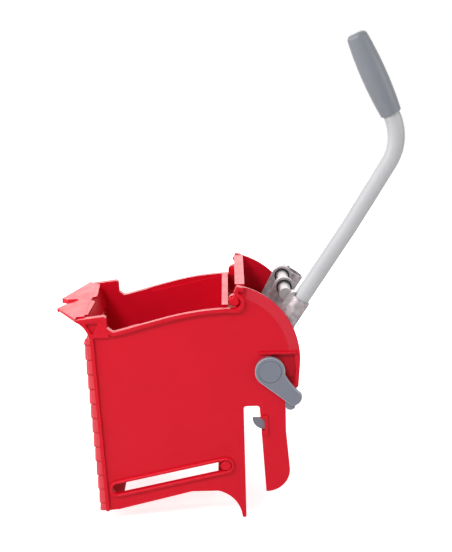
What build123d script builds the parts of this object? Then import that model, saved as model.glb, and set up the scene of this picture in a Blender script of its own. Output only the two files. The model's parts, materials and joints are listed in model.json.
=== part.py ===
from build123d import *
import os
from math import acos, atan2, cos, degrees, hypot, pi, radians, sin, sqrt

# Mop wringer that hangs on the wall of a mop bucket.
# Millimetres. Origin at the middle of the bucket-rim seat, +X towards the lever, +Z up.
# Places in the side view are (X, Z) pairs. The left-hand pieces lie on the -Y side.

# Housing width
WIDTH = 190.0
WALL = 5.0
BEAD_RISE = 5.0
BEAD_WIDTH = 5.0
FLANGE_RISE = 4.0
WALL_OUT = WIDTH / 2 - BEAD_RISE
WALL_IN = WALL_OUT - WALL

# Slot that drops over the bucket wall, with the seat at Z = 0
SLOT_LEFT = -10.3
SLOT_RIGHT = 10.8
SLOT_CORNER = 4.0
SPIKE_FOOT = -160.0
SPIKE_WIDTH = 5.6
LEG_FOOT = -124.7
LEG_SPREAD = 6.9
LEG_WIDTH = 32.5
LEG_STEP = 4.3
LEG_NECK = 8.0
LEG_BEND = -36.0
LEG_ROUND = 35.0

# Front of the chamber
FOOT_X = -202.3
FOOT_Z = -147.5
FOOT_FLAT = 18.0
FOOT_RISE = 1.4
HEEL = 37.5
HEEL_FLAT = 36.0
HEEL_Z = -122.3
HEEL_DIP = 12.3
FRONT_TOP_Z = 98.5
FRONT_LEAN = 2.0
FLANGE_WIDTH = 4.8
EAR_REACH = 17.1
EAR_RISE = 28.9
EAR_LENGTH = 40.6
EAR_CLIMB = 4.9
EAR_CORNER_R = 4.5
EAR_SIDE = 17.0
EAR_PAD = 25.0
EAR_RECESS_R = 2.0
NOTCH_OVER = 7.8
NOTCH_DOWN = 22.8
NOTCH_R = 4.0
RAIL_RUN = 64.5
RAIL_RISE = 16.7
RAIL_MID = 103.5
RAIL_MID_RISE = 24.6

# Sliding press plate
SLIDE_ANGLE = 11.6
SLIDE_TRAVEL = 122.0
UPPER_STUD = (-19.0, 145.4)
LOWER_STUD = (-36.5, -84.6)
UPPER_STUD_R = 6.4
LOWER_STUD_R = 6.8
STUD_CLEAR = 0.7
STUD_ROOT = 9.0
STUD_WALL = 1.4
UPPER_GROOVE = 2.6
GUIDE_LENGTH = 151.5
GUIDE_BEAD = 4.2
HOOK_R = 8.4
HOOK_FROM = -122.0
HOOK_TO = 75.0
PLATE_GAP = 2.5
PLATE_THICK = 8.4
PLATE_TOP = 140.5
PLATE_FOOT = -100.0
PLATE_TOP_X = -36.0
PLATE_FOOT_X = -47.5
UPSTAND_FRONT = -18.0
UPSTAND_DEPTH = 12.6
UPSTAND_TOP = 167.0
UPSTAND_INSET = 3.5
SHELF_Z = 118.0
PLATE_SKIN = 4.0
RIB = 3.0
RIB_DEPTH = 9.0

# Guard quadrant behind the press plate
GUARD_CENTRE = (-38.0, 66.0)
GUARD_R = 104.2
GUARD_FROM = 77.5
GUARD_TO = -4.5
GUARD_BAND = 14.0
GUARD_SLOPE = 2.6
LEDGE = 2.2
LEDGE_RISE = 3.0
LEDGE_UP = 4.0

# Pull lever: pivot, cross shaft and tube
PIVOT = (-1.0, 54.5)
SHAFT = (48.5, 148.5)
PIVOT_R = 7.0
PIVOT_BUSH = 2.5
PIVOT_BOSS_R = 12.0
PIVOT_BOSS = 6.5
PIN_HEAD_R = 11.0
PIN_HEAD = 2.5
RUN_CLEAR = 0.05
SIDE_CLEAR = 0.5
SHAFT_R = 8.2
SHAFT_INSET = 8.0
ARM_HUB_R = 15.0
ARM_HUB = 21.0
ARM_WEB = 14.0
ARM_WEB_STEP = 2.0
SADDLE = (60.0, 144.5)
SADDLE_R = 8.5
TUBE_R = 11.0
TUBE_WALL = 1.5
TUBE_INSET = 16.0
SOCKET_TOP = (69.2, 142.0)
SOCKET_LENGTH = 55.0
SOCKET_WALL = 2.3
SOCKET_CLEAR = 0.2
SOCKET_FLOOR = 3.0
LEVER_ANGLE = 56.4
LEVER_RUN = 115.0
UPPER_ANGLE = 58.4
UPPER_RUN = 131.0
LEVER_BEND_R = 66.0
GRIP_ANGLE = 114.2
GRIP_START = 37.5
GRIP_LENGTH = 111.0
GRIP_R = 16.3
GRIP_END_R = 13.5
GRIP_CAP = 6.0
GRIP_DOME = 7.0
RIVET_R = 3.0
RIVET_HEAD_R = 5.5
RIVET_HEAD = 1.8
RIVET_UP = 12.0
STOP_R = 6.0
STOP_ALONG = 46.0
STOP_CLEAR = 0.3
STOP_SEAT = 2.0

# Link from the cross shaft to the press plate
LINK_LENGTH = 86.0
LINK_ANGLE = 239.7
LINK_PLATE_IN = 26.5
LINK_PLATE = 7.0
LINK_EYE_R = 13.5
LINK_FOOT_R = 10.5
LINK_TIE_R = 6.0
LINK_TIE = 0.52
BUSH_WALL = 2.2
LINK_PIN_R = 5.0
CHEEK = 6.0
CHEEK_GAP = 0.5
CHEEK_WALL = 6.0
PLAY_LEFT = 5.3
PLAY_RIGHT = 0.8
PLAY_DOWN = 2.1
PLAY_UP = 21.5
CLEVIS_BASE = 4.5
CLEVIS_HALF = 26.0
CLEVIS_SCREW_Y = 11.0

# Bucket latch
LATCH = (25.7, 49.8)
LATCH_AXLE_R = 4.5
LATCH_HEAD_R = 20.0
LATCH_THICK = 6.7
LATCH_GAP = 0.3
LATCH_TAIL = (67.2, 17.0)
LATCH_EDGE = 1.0
TAB_R = 7.0
TAB_THICK = 3.0
LATCH_POCKET = 3.0
TAIL_HOLE_TOP = 39.5
TAIL_HOLE_LEFT = 48.0
TAIL_HOLE_RIGHT = 59.0
TAIL_HOLE_FOOT = 30.0
TAIL_SKIN = 0.8
CAP_R = 15.0
CAP_THICK = 2.5
CAP_GROOVE = 0.3
HOOK_ARM = 4.5
HOOK_ARM_GAP = 0.5
HOOK_HUB_R = 10.0
TOOTH_TIP = 1.3
TOOTH_TOP = -19.8
TOOTH_R = 15.6
WINDOW = 18.5
WINDOW_UP = 1.3
WINDOW_OVER = 6.5
BEZEL = 27.4
BEZEL_DOWN = 21.5
BEZEL_OVER = 10.7
BEZEL_RISE = 2.5
ARM_LEFT = 16.5
ARM_RIGHT = 29.0
SPRING_R = 7.0
SPRING_WIRE = 1.6
SPRING_PITCH = 2.2
SPRING_QUARTERS = 18
SPRING_INSET = 20.0
SPRING_LEG = 33.0
SPRING_BEND_R = 4.0
SPRING_SEAT = 0.2

# Louvred front wall and its lip
LOUVRES = 12
LOUVRE_FIRST = 6.9
LOUVRE_LAST = 11.0
LOUVRE_ROOT = 2.2
LOUVRE_TIP = 9.5
LOUVRE_END = 9.0
LOUVRE_END_ROOT = 7.5
LOUVRE_CORNER = 6.0
PANEL = 4.0
DRAIN_COLUMNS = 3
DRAIN_WIDTH = 44.0
DRAIN_STEP = 52.0
DRAIN_HEIGHT = 9.0
DRAIN_SKIN = 2.8
SILL = 16.0
SILL_THICK = 4.0
LIP_REACH = 33.6
LIP_THICK = 3.0
LIP_DROP = 2.8
LIP_EDGE = 2.2
LIP_FLAT = 10.0
PRONG_Y = 27.0
PRONG_TIP = 6.0
MOUTH = 10.0
MOUTH_HALF = 11.0
NOTCH_DEPTH = 17.5
NOTCH_HALF = 9.0
COLLAR = 6.5
COLLAR_WALL = 3.0
FACET = 1.5
FACET_DROP = 2.0
TONGUE_HALF = 76.0
TONGUE_WIDE = 24.0
TONGUE_END = 4.5
CRADLE_HALF = 12.0
CRADLE_FLAT = 6.0
CRADLE_REACH = 1.0
TONGUE = 7.0
TONGUE_DROP = 0.4

# Cross members and their screws
BEAM_HALF = 10.0
BEAM_THICK = 4.0
BEAM_RIB = 8.0
BRIDGE_X = 36.0
BRIDGE_THICK = 4.0
BRIDGE_TOP = -45.0
BRIDGE_FOOT = -105.0
FLANGE_REACH = 14.0
LUG = 3.5
LUG_HALF = 8.0
SCREW_R = 1.6
SCREW_HEAD_R = 3.5
SCREW_HEAD = 2.0
SCREW_BITE = 3.5
WALL_SCREWS = (53.0, 115.0, 181.0)
BRIDGE_SCREWS = (-60.0, -90.0)
BEAM_SCREWS = (14.0,)


# Small tools for the side view

def turn(angle, length):
    return (length * cos(radians(angle)), length * sin(radians(angle)))


def add(a, b):
    return (a[0] + b[0], a[1] + b[1])


def polar(centre, angle, radius):
    return add(centre, turn(angle, radius))


def outline(start, *steps):
    """Face bounded by straight lines to points and by arcs given as (via, end) pairs."""
    edges = []
    here = start
    for step in steps + (start,):
        if isinstance(step[0], tuple):
            edges.append(ThreePointArc(here, *step))
            here = step[1]
        else:
            edges.append(Line(here, step))
            here = step
    return make_face(edges)


def slab(face, low, high):
    """Solid of a side-view face, from Y = low to Y = high."""
    return extrude(Plane((0, high, 0), (1, 0, 0), (0, -1, 0)) * face, high - low)


def disc(centre, radius):
    return Pos(*centre) * Circle(radius)


def rod(centre, radius, low, high):
    return slab(disc(centre, radius), low, high)


def ring(centre, outer, inner, low, high):
    return slab(disc(centre, outer) - disc(centre, inner), low, high)


def oblong(a, b, radius):
    """Face of a slot whose round ends are centred on two points."""
    middle = ((a[0] + b[0]) / 2, (a[1] + b[1]) / 2)
    angle = degrees(atan2(b[1] - a[1], b[0] - a[0]))
    span = hypot(b[0] - a[0], b[1] - a[1])
    return Pos(*middle) * Rot(0, 0, angle) * SlotCenterToCenter(span, 2 * radius)


def block(x0, x1, y0, y1, z0, z1):
    return slab(outline((x0, z0), (x1, z0), (x1, z1), (x0, z1)), y0, y1)


def round_corner(face, point, radius):
    return fillet(face.vertices().sort_by_distance((*point, 0))[0], radius)


def far(solid):
    """The same piece on the right-hand side."""
    return mirror(solid, about=Plane.XZ)


# Places that several pieces share

UPPER_END = add(UPPER_STUD, turn(180 + SLIDE_ANGLE, SLIDE_TRAVEL))
GUIDE_END = add(LOWER_STUD, turn(180 + SLIDE_ANGLE, GUIDE_LENGTH))
FOOT = (FOOT_X, FOOT_Z)
FRONT_ANGLE = 90 + FRONT_LEAN
FRONT_LENGTH = (FRONT_TOP_Z - FOOT_Z) / cos(radians(FRONT_LEAN))
FRONT_TOP = polar(FOOT, FRONT_ANGLE, FRONT_LENGTH)
LOUVRE_PITCH = (FRONT_LENGTH - LOUVRE_FIRST - LOUVRE_LAST) / (LOUVRES - 1)
EAR_TIP = add(FRONT_TOP, (-EAR_REACH, EAR_RISE))
EAR_CORNER = add(EAR_TIP, (EAR_LENGTH, EAR_CLIMB))
EAR_FOOT = add(EAR_TIP, (0, -LIP_THICK * 0.8))
GUSSET_VIA = add(FRONT_TOP, (-EAR_REACH * 0.36, EAR_RISE * 0.57))
NOTCH = add(EAR_CORNER, (NOTCH_OVER, -NOTCH_DOWN))
HOOK_START = polar(UPPER_STUD, HOOK_FROM, HOOK_R)
HOOK_END = polar(UPPER_STUD, HOOK_TO, HOOK_R)
GUARD_START = polar(GUARD_CENTRE, GUARD_FROM, GUARD_R)
GUARD_END = polar(GUARD_CENTRE, GUARD_TO, GUARD_R)
RAIL_KNEE = add(NOTCH, (RAIL_RUN, RAIL_RISE))
RAIL_VIA = add(NOTCH, (RAIL_MID, RAIL_MID_RISE))
ABOVE_LATCH = LATCH[1] + LATCH_HEAD_R + LEDGE_UP
LEG_RIGHT = SLOT_RIGHT + LEG_SPREAD + LEG_WIDTH
TUBE_Y = WALL_IN - TUBE_INSET
SOCKET_R = TUBE_R + SOCKET_CLEAR + SOCKET_WALL
SOCKET_FOOT = polar(SOCKET_TOP, LEVER_ANGLE + 180, SOCKET_LENGTH)
TUBE_FOOT = polar(SOCKET_FOOT, LEVER_ANGLE, SOCKET_FLOOR)
LEVER_KNEE = polar(SOCKET_TOP, LEVER_ANGLE, LEVER_RUN)
LEVER_CORNER = polar(LEVER_KNEE, UPPER_ANGLE, UPPER_RUN)
GRIP_FOOT = polar(LEVER_CORNER, GRIP_ANGLE, GRIP_START)
GRIP_END = polar(GRIP_FOOT, GRIP_ANGLE, GRIP_LENGTH)
RIVET = polar(SOCKET_FOOT, LEVER_ANGLE, RIVET_UP)
ARM_OUT = WALL_IN - PIVOT_BOSS - SIDE_CLEAR
ARM_WEB_OUT = ARM_OUT - ARM_WEB_STEP
WEB_FOOT = polar(SOCKET_FOOT, LEVER_ANGLE, SOCKET_R)
LINK_FOOT = polar(SHAFT, LINK_ANGLE, LINK_LENGTH)
LINK_BORE = SHAFT_R + RUN_CLEAR + BUSH_WALL
LINK_PLATE_OUT = LINK_PLATE_IN + LINK_PLATE
CHEEK_OUT = LINK_PLATE_IN - CHEEK_GAP
CHEEK_IN = CHEEK_OUT - CHEEK
PLATE_HALF = WALL_IN - PLATE_GAP
PLATE_LEAN = (PLATE_FOOT_X - PLATE_TOP_X) / (PLATE_FOOT - PLATE_TOP)
HOOK_ARM_OUT = WALL_IN - HOOK_ARM_GAP
HOOK_ARM_IN = HOOK_ARM_OUT - HOOK_ARM
SPRING_Y = HOOK_ARM_IN - SPRING_INSET
LATCH_IN = WALL_OUT + LATCH_GAP
LATCH_OUT = LATCH_IN + LATCH_THICK
STUD_IN = PLATE_HALF - STUD_ROOT


def plate_front(z):
    """X of the press plate's front face at a height."""
    return PLATE_TOP_X + (z - PLATE_TOP) * PLATE_LEAN


def plate_back(z):
    return plate_front(z) + PLATE_THICK


def on_front(down, out):
    """Point at a distance down the front edge from its top, and out from it."""
    point = polar(FRONT_TOP, FRONT_ANGLE + 180, down)
    return add(point, turn(FRONT_ANGLE + 90, out))


def stop_centre():
    """Centre of the bar that the lever arms lean on, beside their lower edge."""
    reach = hypot(WEB_FOOT[0] - PIVOT[0], WEB_FOOT[1] - PIVOT[1])
    angle = degrees(atan2(WEB_FOOT[1] - PIVOT[1], WEB_FOOT[0] - PIVOT[0]))
    slope = (SOCKET_R - ARM_HUB_R) / reach
    side = (ARM_HUB_R + STOP_R + STOP_CLEAR) / cos(slope) + STOP_ALONG * slope
    return add(polar(PIVOT, angle, STOP_ALONG), turn(angle - 90, side))


STOP = stop_centre()


def screw_places():
    """Side-view places of the frame screws in one side plate."""
    wall = [on_front(down, -PANEL - FLANGE_REACH / 2) for down in WALL_SCREWS]
    bridge = [(BRIDGE_X - FLANGE_REACH / 2, z) for z in BRIDGE_SCREWS]
    beam = [(0.0, z) for z in BEAM_SCREWS]
    return wall + bridge + beam


# Housing

def side_outline():
    """Outline of a side plate: ear, rail, hook, guard, leg, bucket slot, spike and foot."""
    tip = (SLOT_LEFT - SPIKE_WIDTH / 2, SPIKE_FOOT - SPIKE_WIDTH / 2)
    heel = (SLOT_LEFT - HEEL, HEEL_Z)
    face = outline(
        EAR_TIP,
        EAR_CORNER,
        add(EAR_CORNER, (0.2, -EAR_SIDE)),
        NOTCH,
        RAIL_KNEE,
        (RAIL_VIA, HOOK_START),
        (polar(UPPER_STUD, (HOOK_FROM + HOOK_TO) / 2, HOOK_R), HOOK_END),
        add(HOOK_END, (-3.2, 5.6)),
        GUARD_START,
        (polar(GUARD_CENTRE, (GUARD_FROM + GUARD_TO) / 2, GUARD_R), GUARD_END),
        add(GUARD_END, (-2.6, -31.0)),
        (LEG_RIGHT - LEG_STEP, LEG_NECK),
        (LEG_RIGHT - LEG_STEP, LEG_BEND),
        (LEG_RIGHT, LEG_FOOT + LEG_ROUND),
        ((LEG_RIGHT - 9.6, LEG_FOOT + 8.6), (SLOT_RIGHT + LEG_SPREAD, LEG_FOOT)),
        (SLOT_RIGHT, 0.0),
        (SLOT_LEFT, 0.0),
        (SLOT_LEFT, SPIKE_FOOT),
        (tip, (SLOT_LEFT - SPIKE_WIDTH, SPIKE_FOOT)),
        ((heel[0] + HEEL * 0.55, HEEL_Z - HEEL_DIP), heel),
        (heel[0] - HEEL_FLAT, HEEL_Z),
        add(FOOT, (FOOT_FLAT, FOOT_RISE)),
        FOOT,
        FRONT_TOP,
        (GUSSET_VIA, EAR_FOOT),
    )
    face = round_corner(face, EAR_CORNER, EAR_CORNER_R)
    face = round_corner(face, NOTCH, NOTCH_R)
    for corner in ((SLOT_LEFT, 0.0), (SLOT_RIGHT, 0.0)):
        face = round_corner(face, corner, SLOT_CORNER)
    return face


def bead_face(face):
    """Band inside the top edge: ear, notch, rail and hook."""
    band = face - offset(face, -BEAD_WIDTH, kind=Kind.INTERSECTION)
    below = BEAD_WIDTH + 1.5
    reach = outline(
        add(EAR_TIP, (-4.0, -BEAD_WIDTH)),
        add(EAR_CORNER, (-below, -below)),
        (EAR_CORNER[0] - below, NOTCH[1] - below),
        add(NOTCH, (3.0, -below)),
        add(RAIL_VIA, (0.0, -below)),
        add(UPPER_STUD, (0.0, -HOOK_R - below)),
        add(UPPER_STUD, (HOOK_R + below, -below)),
        add(GUARD_START, (below, 4.0)),
        add(EAR_TIP, (-4.0, 60.0)),
    )
    return band & reach


def ear_pad(face):
    """Raised ear round a three-sided recess."""
    right = EAR_CORNER[0] + 2
    low = EAR_TIP[1] - EAR_PAD
    reach = outline(
        (EAR_TIP[0] - 2, low),
        (right, low),
        (right, EAR_CORNER[1] + 2),
        (EAR_TIP[0] - 2, EAR_CORNER[1] + 2),
    )
    recess = outline(
        add(EAR_TIP, (11.6, -5.5)),
        add(EAR_TIP, (29.7, -4.6)),
        add(EAR_TIP, (21.4, -22.3)),
    )
    return (face & reach) - fillet(recess.vertices(), EAR_RECESS_R)


def guard_chamfer():
    """Slope round the guard's rim, to be cut from the outside of the wall."""
    left = UPPER_STUD[0] + HOOK_R + BEAD_WIDTH + 2
    right = GUARD_END[0] + 5
    area = outline(
        (left, ABOVE_LATCH + LEDGE),
        (right, ABOVE_LATCH + LEDGE),
        (right, UPSTAND_TOP + 5),
        (left, UPSTAND_TOP + 5),
    )
    kept = Cone(GUARD_R - GUARD_BAND, GUARD_R, GUARD_SLOPE, align=(Align.CENTER, Align.CENTER, Align.MIN))
    base = Plane((GUARD_CENTRE[0], -WALL_OUT, GUARD_CENTRE[1]), (1, 0, 0), (0, 1, 0))
    return slab(area, -WALL_OUT, -WALL_OUT + GUARD_SLOPE) - base * kept


def stud_groove():
    """Room for an upper stud to run behind the outer skin of the rail."""
    radius = UPPER_STUD_R + STUD_CLEAR / 2
    track = oblong(UPPER_STUD, UPPER_END, radius)
    above = outline(UPPER_STUD, UPPER_END, add(UPPER_END, (0, 60)), add(UPPER_STUD, (0, 60)))
    return slab(track + above, -WALL_IN - UPPER_GROOVE, -WALL_IN + 1)


def latch_pocket():
    """Recess beside the latch lever, between its head and the guard's rim."""
    return outline(
        add(LATCH, (2.0, LATCH_HEAD_R + 2.0)),
        add(GUARD_END, (-7.0, 14.0)),
        add(GUARD_END, (-5.0, -10.0)),
        add(GUARD_END, (-12.0, -34.0)),
        add(LATCH, (6.0, -LATCH_HEAD_R)),
        LATCH,
    )


def tail_hole():
    """Deep well under the pocket, behind the tail of the latch lever."""
    return outline(
        (TAIL_HOLE_LEFT, TAIL_HOLE_TOP),
        (TAIL_HOLE_RIGHT, TAIL_HOLE_TOP),
        (TAIL_HOLE_RIGHT, TAIL_HOLE_FOOT),
    )


def side_plate():
    face = side_outline()
    wall = slab(face, -WALL_OUT, -WALL_IN)
    wall += slab(bead_face(face), -WALL_OUT - BEAD_RISE, -WALL_OUT)
    strip = outline(
        FOOT,
        FRONT_TOP,
        on_front(-6.0, -FLANGE_WIDTH),
        on_front(FRONT_LENGTH, -FLANGE_WIDTH),
    )
    wall += slab(strip & face, -WALL_OUT - FLANGE_RISE, -WALL_OUT)
    guide = oblong(LOWER_STUD, GUIDE_END, LOWER_STUD_R + STUD_CLEAR)
    rim = oblong(LOWER_STUD, GUIDE_END, LOWER_STUD_R + STUD_CLEAR + GUIDE_BEAD)
    wall += slab(rim, -WALL_OUT - FLANGE_RISE, -WALL_OUT)
    wall += slab(ear_pad(face), -WALL_OUT - FLANGE_RISE, -WALL_OUT)
    wall -= guard_chamfer()
    wall += block(LATCH[0] - LATCH_HEAD_R * 0.75, GUARD_END[0] - 5, -WALL_OUT - LEDGE_RISE, -WALL_OUT,
                  ABOVE_LATCH, ABOVE_LATCH + LEDGE)
    wall -= slab(latch_pocket(), -WALL_OUT - 1, -WALL_OUT + LATCH_POCKET)
    wall -= slab(tail_hole(), -WALL_OUT - 1, -WALL_IN - TAIL_SKIN)
    low = TOOTH_TOP + WINDOW_UP - WINDOW
    window = block(0, SLOT_RIGHT + WINDOW_OVER, -WIDTH / 2, -WALL_IN + 1, low, low + WINDOW)
    low = TOOTH_TOP - BEZEL_DOWN
    bezel = block(SLOT_RIGHT + 2, SLOT_RIGHT + BEZEL_OVER, -WALL_OUT - BEZEL_RISE, -WALL_OUT, low, low + BEZEL)
    wall += bezel
    wall -= window
    wall += rod(PIVOT, PIVOT_BOSS_R, -WALL_IN, -WALL_IN + PIVOT_BOSS)
    wall -= slab(guide, -WALL_OUT - FLANGE_RISE - 1, -WALL_IN + 1)
    wall -= stud_groove()
    wall -= rod(PIVOT, PIVOT_R, -WALL_OUT + 2, -WALL_IN + PIVOT_BOSS + 1)
    wall -= rod(LATCH, LATCH_AXLE_R + RUN_CLEAR, -WALL_OUT - 1, -WALL_IN + 1)
    wall -= rod(STOP, STOP_R, -WALL_IN - STOP_SEAT, -WALL_IN + 1)
    for place in screw_places():
        wall -= rod(place, SCREW_R, -WALL_IN - SCREW_BITE, -WALL_IN + 1)
    return wall


def rounded_front():
    """Bar along the front wall whose outer corners are rounded."""
    shoulder = LOUVRE_TIP - LOUVRE_CORNER
    side = WALL_OUT - LOUVRE_CORNER
    face = outline(
        (-SILL - PANEL - 1, -WALL_OUT),
        (shoulder, -WALL_OUT),
        (polar((shoulder, -side), -45, LOUVRE_CORNER), (LOUVRE_TIP, -side)),
        (LOUVRE_TIP, side),
        (polar((shoulder, side), 45, LOUVRE_CORNER), (shoulder, WALL_OUT)),
        (-SILL - PANEL - 1, WALL_OUT),
    )
    start = on_front(FRONT_LENGTH + 1, 0)
    out = turn(FRONT_ANGLE + 90, 1)
    along = turn(FRONT_ANGLE, 1)
    base = Plane((start[0], 0, start[1]), (out[0], 0, out[1]), (along[0], 0, along[1]))
    return extrude(base * face, FRONT_LENGTH + 2)


def front_wall():
    """Panel between the side plates, with louvres outside and drain slots under them."""
    sill = outline(
        on_front(0, 0),
        on_front(0, -PANEL),
        on_front(FRONT_LENGTH, -PANEL),
        on_front(FRONT_LENGTH, 0),
    )
    tips = [LOUVRE_FIRST + row * LOUVRE_PITCH for row in range(LOUVRES)]
    points = [on_front(0, 0), on_front(0, LOUVRE_ROOT)]
    for tip in tips:
        points += [on_front(tip, LOUVRE_TIP), on_front(tip, LOUVRE_ROOT)]
    points += [on_front(FRONT_LENGTH, LOUVRE_TIP / 2), on_front(FRONT_LENGTH, 0)]
    wall = slab(sill, -WALL_IN, WALL_IN) + slab(outline(*points), -WALL_OUT, WALL_OUT)
    ledge = outline(
        on_front(FRONT_LENGTH - SILL_THICK, -PANEL + 1),
        on_front(FRONT_LENGTH - SILL_THICK, -PANEL - SILL),
        on_front(FRONT_LENGTH, -PANEL - SILL),
        on_front(FRONT_LENGTH, -PANEL + 1),
    )
    wall += slab(ledge, -WALL_IN, WALL_IN)
    ends = [on_front(0, 0), on_front(0, LOUVRE_END_ROOT)]
    for tip in tips:
        ends += [on_front(tip, LOUVRE_TIP), on_front(tip, LOUVRE_END_ROOT)]
    ends += [on_front(FRONT_LENGTH, LOUVRE_TIP), on_front(FRONT_LENGTH, 0)]
    end = slab(outline(*ends), -WALL_OUT, -WALL_OUT + LOUVRE_END)
    wall += [end, far(end)]
    wall &= rounded_front()
    drains = []
    for tip in tips:
        mouth = outline(
            on_front(tip - DRAIN_HEIGHT, -PANEL - 1),
            on_front(tip - DRAIN_HEIGHT, LOUVRE_ROOT),
            on_front(tip, LOUVRE_TIP - DRAIN_SKIN),
            on_front(tip, -PANEL - 1),
        )
        for column in range(DRAIN_COLUMNS):
            middle = (column - (DRAIN_COLUMNS - 1) / 2) * DRAIN_STEP
            drains.append(slab(mouth, middle - DRAIN_WIDTH / 2, middle + DRAIN_WIDTH / 2))
    wall -= drains
    for down in WALL_SCREWS:
        lug = outline(
            on_front(down - LUG_HALF, -PANEL),
            on_front(down - LUG_HALF, -PANEL - FLANGE_REACH),
            on_front(down + LUG_HALF, -PANEL - FLANGE_REACH),
            on_front(down + LUG_HALF, -PANEL),
        )
        wall += [slab(lug, -WALL_IN, -WALL_IN + LUG), slab(lug, WALL_IN - LUG, WALL_IN)]
        hole = on_front(down, -PANEL - FLANGE_REACH / 2)
        wall -= rod(hole, SCREW_R, -WALL_IN - 1, WALL_IN + 1)
    return wall


def front_lip():
    """Two-pronged lip with a notch for the mop handle, and the facet that leads into the chamber."""
    root = EAR_TIP
    crest = add(root, (0, LIP_EDGE))
    tip = add(root, (-LIP_REACH, -LIP_DROP))
    inner = on_front(0, -PANEL)
    fold = add(crest, (LIP_FLAT, LIP_EDGE / 4))
    facet = add(fold, (FACET, -FACET_DROP))
    section = outline(
        tip,
        crest,
        fold,
        facet,
        inner,
        FRONT_TOP,
        (GUSSET_VIA, EAR_FOOT),
        add(tip, (0, -LIP_THICK)),
    )
    mouth = tip[0] + MOUTH
    end = tip[0] + NOTCH_DEPTH
    edge = [
        (inner[0] + 1, -WALL_IN),
        (root[0], -WALL_IN),
        (root[0], -WIDTH / 2),
        (tip[0] + 2.5, -PRONG_Y - PRONG_TIP / 2),
        ((tip[0], -PRONG_Y), (tip[0] + 2.0, -PRONG_Y + PRONG_TIP)),
        (mouth, -MOUTH_HALF),
        (end, -NOTCH_HALF),
        ((end + NOTCH_HALF, 0.0), (end, NOTCH_HALF)),
        (mouth, MOUTH_HALF),
        (tip[0] + 2.0, PRONG_Y - PRONG_TIP),
        ((tip[0], PRONG_Y), (tip[0] + 2.5, PRONG_Y + PRONG_TIP / 2)),
        (root[0], WIDTH / 2),
        (root[0], WALL_IN),
        (inner[0] + 1, WALL_IN),
    ]
    bottom = FRONT_TOP[1] - 1
    height = fold[1] - bottom + 1
    plan = extrude(Pos(0, 0, bottom) * outline(*edge), height)
    lip = slab(section, -WIDTH / 2, WIDTH / 2) & plan
    rim = [
        (tip[0], -PRONG_Y + COLLAR_WALL),
        (mouth, -MOUTH_HALF - COLLAR_WALL),
        (end, -NOTCH_HALF - COLLAR_WALL),
        ((end + COLLAR_WALL + NOTCH_HALF, 0.0), (end, NOTCH_HALF + COLLAR_WALL)),
        (mouth, MOUTH_HALF + COLLAR_WALL),
        (tip[0], PRONG_Y - COLLAR_WALL),
    ]
    below = outline(
        add(tip, (0, -LIP_THICK / 2)),
        add(crest, (0, -LIP_THICK / 2)),
        add(crest, (0, -COLLAR)),
        add(tip, (0, -COLLAR)),
    )
    collar = slab(below, -PRONG_Y, PRONG_Y) & extrude(Pos(0, 0, bottom) * outline(*rim), height)
    tongue = outline(
        (fold[0] - 2, -TONGUE_HALF),
        (fold[0] + TONGUE_END, -TONGUE_HALF),
        (fold[0] + TONGUE, -TONGUE_WIDE),
        (fold[0] + TONGUE, -CRADLE_HALF),
        (fold[0] + CRADLE_REACH, -CRADLE_FLAT),
        (fold[0] + CRADLE_REACH, CRADLE_FLAT),
        (fold[0] + TONGUE, CRADLE_HALF),
        (fold[0] + TONGUE, TONGUE_WIDE),
        (fold[0] + TONGUE_END, TONGUE_HALF),
        (fold[0] - 2, TONGUE_HALF),
    )
    lip += extrude(Pos(0, 0, fold[1] - TONGUE_DROP - LIP_THICK) * tongue, LIP_THICK)
    return lip + (collar & plan)


def rim_beam():
    """Channel across the top of the bucket slot: its underside is the seat."""
    top = BEAM_THICK + BEAM_RIB
    beam = block(-BEAM_HALF, BEAM_HALF, -WALL_IN, WALL_IN, 0, top)
    beam -= block(-BEAM_HALF + RIB, BEAM_HALF - RIB, -WALL_IN + LUG, WALL_IN - LUG, BEAM_THICK, top + 1)
    for z in BEAM_SCREWS:
        for y in (-WALL_IN, WALL_IN - LUG):
            beam += block(-LUG_HALF, LUG_HALF, y, y + LUG, BEAM_THICK, z + LUG_HALF)
        beam -= rod((0, z), SCREW_R, -WALL_IN - 1, WALL_IN + 1)
    return beam


def rear_bridge():
    """Panel that ties the two legs together behind the bucket wall."""
    panel = block(BRIDGE_X, BRIDGE_X + BRIDGE_THICK, -WALL_IN, WALL_IN, BRIDGE_FOOT, BRIDGE_TOP)
    for y in (-WALL_IN, WALL_IN - LUG):
        panel += block(BRIDGE_X - FLANGE_REACH, BRIDGE_X, y, y + LUG, BRIDGE_FOOT, BRIDGE_TOP)
    for z in (BRIDGE_FOOT, BRIDGE_TOP - RIB):
        panel += block(BRIDGE_X - RIB_DEPTH, BRIDGE_X, -WALL_IN, WALL_IN, z, z + RIB)
    for z in BRIDGE_SCREWS:
        panel -= rod((BRIDGE_X - FLANGE_REACH / 2, z), SCREW_R, -WALL_IN - 1, WALL_IN + 1)
    return panel


def frame_screws():
    screws = []
    head = -WALL_IN + LUG
    for place in screw_places():
        screw = rod(place, SCREW_R, -WALL_IN - SCREW_BITE, head)
        screw += rod(place, SCREW_HEAD_R, head, head + SCREW_HEAD)
        screws += [screw, far(screw)]
    return Compound(screws)


def pivot_pin():
    """Headed pin pressed into the side plate's boss: a lever arm turns on it."""
    inner = -ARM_OUT + ARM_HUB + SIDE_CLEAR
    pin = rod(PIVOT, PIVOT_R, -WALL_OUT + 2, inner)
    return pin + rod(PIVOT, PIN_HEAD_R, inner, inner + PIN_HEAD)


# Press plate and its guide studs

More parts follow.
